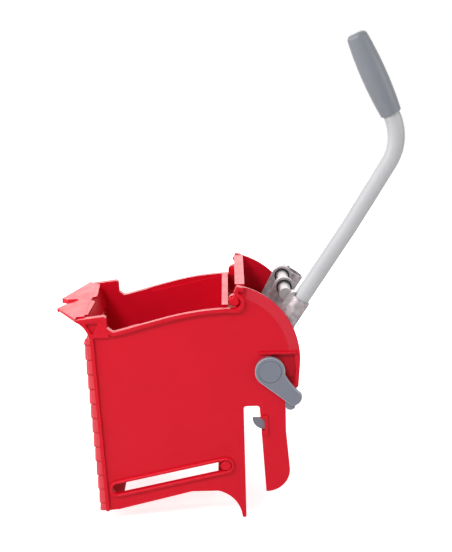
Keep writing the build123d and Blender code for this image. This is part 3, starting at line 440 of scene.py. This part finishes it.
def paint_pocket_shade(shape):
    """Gives the floor of the latch pocket the third material, a darker red that is painted shade."""
    outermost = max(abs(vert.co.y) for vert in shape.verts)
    for face in shape.faces:
        middle = face.calc_center_median()
        outward = face.normal.y * middle.y > 0 and abs(face.normal.y) > FLAT
        sunk = POCKET_DEPTH[0] < outermost - abs(middle.y) < POCKET_DEPTH[1]
        if outward and sunk and middle.x > POCKET_FROM.x and middle.z > POCKET_FROM.z:
            face.material_index = 2


def paint_edge_highlight(shape):
    """Gives the rounded outer edge of a flat lever the second material, a paler grey that is a painted
    highlight.
    """
    outermost = max(abs(vert.co.y) for vert in shape.verts)
    for face in shape.faces:
        middle = face.calc_center_median()
        if abs(middle.y) > outermost - HIGHLIGHT_BAND and HIGHLIGHT_TILT[0] < abs(face.normal.y) < HIGHLIGHT_TILT[1]:
            face.material_index = 1


def on_end_strip(vert, reach):
    """Whether a corner lies on one of the wall's two end strips."""
    return abs(vert.co.y) > reach - END_STRIP


def end_strips(shape, reach):
    """Faces that lie wholly on the wall's end strips."""
    return [face for face in shape.faces if all(on_end_strip(vert, reach) for vert in face.verts)]


def louvre_feet(shape):
    """Heights of the lower edges of the louvres, from the ends of their blades."""
    return sorted({
        round(min(vert.co.z for vert in face.verts), 4)
        for face in shape.faces
        if len(face.verts) == 3 and abs(face.normal.y) > FLAT
    })


def round_blades(shape, radius):
    """Rounds the long edges of the louvred wall."""
    blades = [
        edge
        for edge in shape.edges
        if edge.is_convex and edge.calc_length() > BLADE_EDGE and edge.calc_face_angle(0) > SHARP
    ]
    bmesh.ops.bevel(
        shape, geom=blades, offset=radius, offset_type="OFFSET", segments=EDGE_SEGMENTS, profile=0.5,
        affect="EDGES", clamp_overlap=True, material=-1
    )


def score_ends(shape, feet):
    """Scores the wall's two end strips with a groove at the foot of each louvre, and gives them a paler red
    as a painted highlight.
    """
    reach = max(abs(vert.co.y) for vert in shape.verts)
    for foot in feet:
        for level in (foot - SCORE_WIDTH / 2, foot, foot + SCORE_WIDTH / 2):
            strip = end_strips(shape, reach)
            edges = {edge for face in strip for edge in face.edges}
            verts = {vert for face in strip for vert in face.verts}
            bmesh.ops.bisect_plane(
                shape, geom=[*strip, *edges, *verts], dist=MERGE, plane_co=(0, 0, level), plane_no=(0, 0, 1)
            )
        shape.normal_update()
        for vert in shape.verts:
            if abs(vert.co.z - foot) < SCORE_REACH and on_end_strip(vert, reach):
                vert.co -= SCORE_DEPTH * vert.normal
    shape.normal_update()
    for edge in shape.edges:
        edge.smooth = edge.calc_face_angle(0) < SHARP
    # Painted highlight: the end strips get the paler red
    for face in end_strips(shape, reach):
        face.material_index = 1


def mark_ends(shape):
    """Gives the end faces of a cross bar the second material, as painted over with the plates."""
    for face in shape.faces:
        if abs(face.normal.y) > FLAT:
            face.material_index = 1


def soften(node, radius, material):
    """Puts a copy of a CAD node in its place, with its hard edges rounded."""
    dress(node, merged(node), radius, material)


def dress(node, shape, radius, *materials):
    """Puts a finished shape in a node's place, with small edges rounded where a radius is given."""
    for face in shape.faces:
        face.smooth = True
    mesh = bpy.data.meshes.new(f"finished_{node}")
    shape.to_mesh(mesh)
    shape.free()
    piece = bpy.data.objects.new(f"finished_{node}", mesh)
    bpy.context.scene.collection.objects.link(piece)
    if radius > 0:
        rounding = piece.modifiers.new("Rounded edges", "BEVEL")
        rounding.width = radius
        rounding.segments = EDGE_SEGMENTS
        rounding.limit_method = "ANGLE"
        rounding.angle_limit = SHARP
    shading = piece.modifiers.new("Flat faces", "WEIGHTED_NORMAL")
    shading.weight = FACE_WEIGHT
    shading.keep_sharp = True
    for material in materials:
        mesh.materials.append(finish(material))
    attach(piece, NODE_BODY[node])
    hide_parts(node)


class WRINGER_OT_housing(bpy.types.Operator):
    """Red side plates, louvred wall, lip, beam and bridge"""

    bl_idname = "wringer.housing"
    bl_label = "Housing"

    def execute(self, context):
        edges = context.scene.wringer_edges
        for node in both("side_plate"):
            shape = merged(node)
            # Painted highlight: the guard's sloped rim gets the lighter red
            paint_rim_highlight(shape)
            # Painted shade: the pocket floor gets the darker red
            paint_pocket_shade(shape)
            round_beads(shape, edges.bead)
            dress(node, shape, edges.moulded, "Moulded red", "Rim red", "Grimed red")
        wall = merged("front_wall")
        feet = louvre_feet(wall)
        round_blades(wall, edges.louvre)
        # Grooves are cut in the end strips, which also get the painted highlight
        score_ends(wall, feet)
        dress("front_wall", wall, 0.0, "Moulded red", "Scuffed red")
        for node in ("front_lip", "rim_beam", "rear_bridge"):
            soften(node, edges.moulded, "Moulded red")
        return {"FINISHED"}


class WRINGER_OT_press(bpy.types.Operator):
    """Press plate with its guide studs and the clevis behind it"""

    bl_idname = "wringer.press"
    bl_label = "Press plate"

    def execute(self, context):
        edges = context.scene.wringer_edges
        soften("press_plate", edges.moulded, "Moulded red")
        for node in both("upper_stud") + both("lower_stud"):
            soften(node, edges.moulded, "Stud red")
        soften("drive_clevis", edges.cast, "Cast alloy")
        return {"FINISHED"}


class WRINGER_OT_lever(bpy.types.Operator):
    """Cast arms, cross shaft, drive link, bent tube and grip"""

    bl_idname = "wringer.lever"
    bl_label = "Lever and link"

    def execute(self, context):
        edges = context.scene.wringer_edges
        for node in both("lever_arm") + ["drive_link"]:
            soften(node, edges.cast, "Cast alloy")
        for node in ["cross_shaft", "link_pin"] + both("pivot_pin"):
            soften(node, edges.steel, "Bright steel")
        bar = merged("stop_bar")
        mark_ends(bar)
        dress("stop_bar", bar, edges.steel, "Bright steel", "Moulded red")
        for node in both("pivot_bush") + ["link_bush"]:
            soften(node, edges.steel, "Dark nylon")
        soften("lever_tube", edges.steel, "Tube powder coat")
        soften("hand_grip", edges.latch, "Grip rubber")
        return {"FINISHED"}


class WRINGER_OT_latch(bpy.types.Operator):
    """Grey latch levers, caps and hooks, with their axle and spring"""

    bl_idname = "wringer.latch"
    bl_label = "Bucket latch"

    def execute(self, context):
        edges = context.scene.wringer_edges
        for node in both("latch_lever"):
            shape = merged(node)
            # Painted highlight: the lever's rounded edge gets the paler grey
            paint_edge_highlight(shape)
            dress(node, shape, edges.latch, "Slate plastic", "Worn slate")
        for node in both("latch_cap") + both("latch_hook"):
            soften(node, edges.latch, "Slate plastic")
        soften("latch_axle", edges.steel, "Bright steel")
        soften("latch_spring", 0.0, "Bright steel")
        return {"FINISHED"}


class WRINGER_OT_fasteners(bpy.types.Operator):
    """Frame screws, clevis screws and the socket rivet"""

    bl_idname = "wringer.fasteners"
    bl_label = "Fasteners"

    def execute(self, context):
        for node in ("frame_screws", "clevis_screws", "socket_rivet"):
            soften(node, context.scene.wringer_edges.steel, "Bright steel")
        return {"FINISHED"}


def softbox(name, place, aim, size, power):
    """A square lamp turned towards a point."""
    lamp = bpy.data.lights.new(name, "AREA")
    lamp.shape = "SQUARE"
    lamp.size = size
    lamp.energy = power
    box = bpy.data.objects.new(name, lamp)
    box.location = place
    box.rotation_euler = (aim - place).to_track_quat("-Z", "Y").to_euler()
    bpy.context.scene.collection.objects.link(box)


def studio_world(fill):
    """White to the eye and in reflections, and a plain fill light to everything else."""
    world = bpy.data.worlds.new("Studio")
    world.use_nodes = True
    tree = world.node_tree
    sky = tree.nodes["Background"]
    sky.inputs["Color"].default_value = WHITE
    path = tree.nodes.new("ShaderNodeLightPath")
    seen = path.outputs["Is Camera Ray"]
    for ray in ("Is Glossy Ray", "Is Transmission Ray"):
        either = tree.nodes.new("ShaderNodeMath")
        either.operation = "MAXIMUM"
        tree.links.new(seen, either.inputs[0])
        tree.links.new(path.outputs[ray], either.inputs[1])
        seen = either.outputs["Value"]
    strength = tree.nodes.new("ShaderNodeMapRange")
    strength.inputs["To Min"].default_value = fill
    strength.inputs["To Max"].default_value = 1.0
    tree.links.new(seen, strength.inputs["Value"])
    tree.links.new(strength.outputs["Result"], sky.inputs["Strength"])
    bpy.context.scene.world = world


def studio_floor():
    """Pale floor under the lowest point, which goes over into the white ground away from the object."""
    shape = bmesh.new()
    bmesh.ops.create_grid(shape, x_segments=FLOOR_CELLS, y_segments=FLOOR_CELLS, size=FLOOR_HALF)
    bmesh.ops.translate(shape, verts=shape.verts, vec=(0, 0, CAD_BOX[0].z - FLOOR_GAP))
    mesh = bpy.data.meshes.new("floor")
    shape.to_mesh(mesh)
    shape.free()
    floor = bpy.data.objects.new("floor", mesh)
    bpy.context.scene.collection.objects.link(floor)
    material, tree, shader, place = finish_nodes("Pale floor")
    vary_colour(tree, shader, grain(tree, place, scale=2.0), FLOOR_SHADE, spread=0.01)
    shader.inputs["Roughness"].default_value = 0.9
    shader.inputs["Specular IOR Level"].default_value = 0.0
    away = tree.nodes.new("ShaderNodeVectorMath")
    away.operation = "LENGTH"
    tree.links.new(place, away.inputs[0])
    fade = tree.nodes.new("ShaderNodeMapRange")
    for socket, value in FLOOR_FADE.items():
        fade.inputs[socket].default_value = value
    tree.links.new(away.outputs["Value"], fade.inputs["Value"])
    path = tree.nodes.new("ShaderNodeLightPath")
    seen = tree.nodes.new("ShaderNodeMath")
    seen.operation = "MULTIPLY"
    tree.links.new(path.outputs["Is Camera Ray"], seen.inputs[0])
    tree.links.new(fade.outputs["Result"], seen.inputs[1])
    tree.links.new(seen.outputs["Value"], shader.inputs["Emission Strength"])
    shader.inputs["Emission Color"].default_value = WHITE
    mesh.materials.append(material)


class WRINGER_OT_stage(bpy.types.Operator):
    """Camera, soft light, white ground and floor"""

    bl_idname = "wringer.stage"
    bl_label = "Stage"

    def execute(self, context):
        stage = context.scene.wringer_stage
        camera = bpy.data.objects.new("camera", bpy.data.cameras.new("camera"))
        context.scene.collection.objects.link(camera)
        camera.data.lens = stage.lens
        camera.data.sensor_width = SENSOR
        camera.data.sensor_fit = "AUTO"
        camera.data.clip_start = NEAREST
        turn = Matrix.Rotation(stage.roll, 4, "Y") @ Matrix.Rotation(radians(90) - stage.pitch, 4, "X")
        camera.matrix_world = Matrix.Translation(stage.camera_place) @ turn
        context.scene.camera = camera
        middle = (CAD_BOX[0] + CAD_BOX[1]) / 2
        for name, offset, size in LAMPS:
            softbox(name, middle + Vector(offset), middle, size, getattr(stage, name))
        studio_world(stage.fill)
        studio_floor()
        context.scene.view_settings.view_transform = "Standard"
        return {"FINISHED"}


class WRINGER_PT_panel(bpy.types.Panel):
    """Sizes, colours and steps of the wringer"""

    bl_label = "Mop wringer"
    bl_space_type = "VIEW_3D"
    bl_region_type = "UI"
    bl_category = "Wringer"

    def draw(self, context):
        scene = context.scene
        for group in (scene.wringer_colours, scene.wringer_edges, scene.wringer_stage):
            for name in group.__annotations__:
                self.layout.prop(group, name)
        for step in STEPS:
            self.layout.operator(step.bl_idname)


STEPS = (
    WRINGER_OT_housing,
    WRINGER_OT_press,
    WRINGER_OT_lever,
    WRINGER_OT_latch,
    WRINGER_OT_fasteners,
    WRINGER_OT_stage,
)
CLASSES = (WringerColours, WringerEdges, WringerStage, *STEPS, WRINGER_PT_panel)


def register():
    for item in CLASSES:
        bpy.utils.register_class(item)
    bpy.types.Scene.wringer_colours = bpy.props.PointerProperty(type=WringerColours)
    bpy.types.Scene.wringer_edges = bpy.props.PointerProperty(type=WringerEdges)
    bpy.types.Scene.wringer_stage = bpy.props.PointerProperty(type=WringerStage)


def unregister():
    del bpy.types.Scene.wringer_colours
    del bpy.types.Scene.wringer_edges
    del bpy.types.Scene.wringer_stage
    for item in reversed(CLASSES):
        bpy.utils.unregister_class(item)


def main():
    register()
    bpy.ops.wringer.housing()
    bpy.ops.wringer.press()
    bpy.ops.wringer.lever()
    bpy.ops.wringer.latch()
    bpy.ops.wringer.fasteners()
    bpy.ops.wringer.stage()


if __name__ == "__main__":
    main()
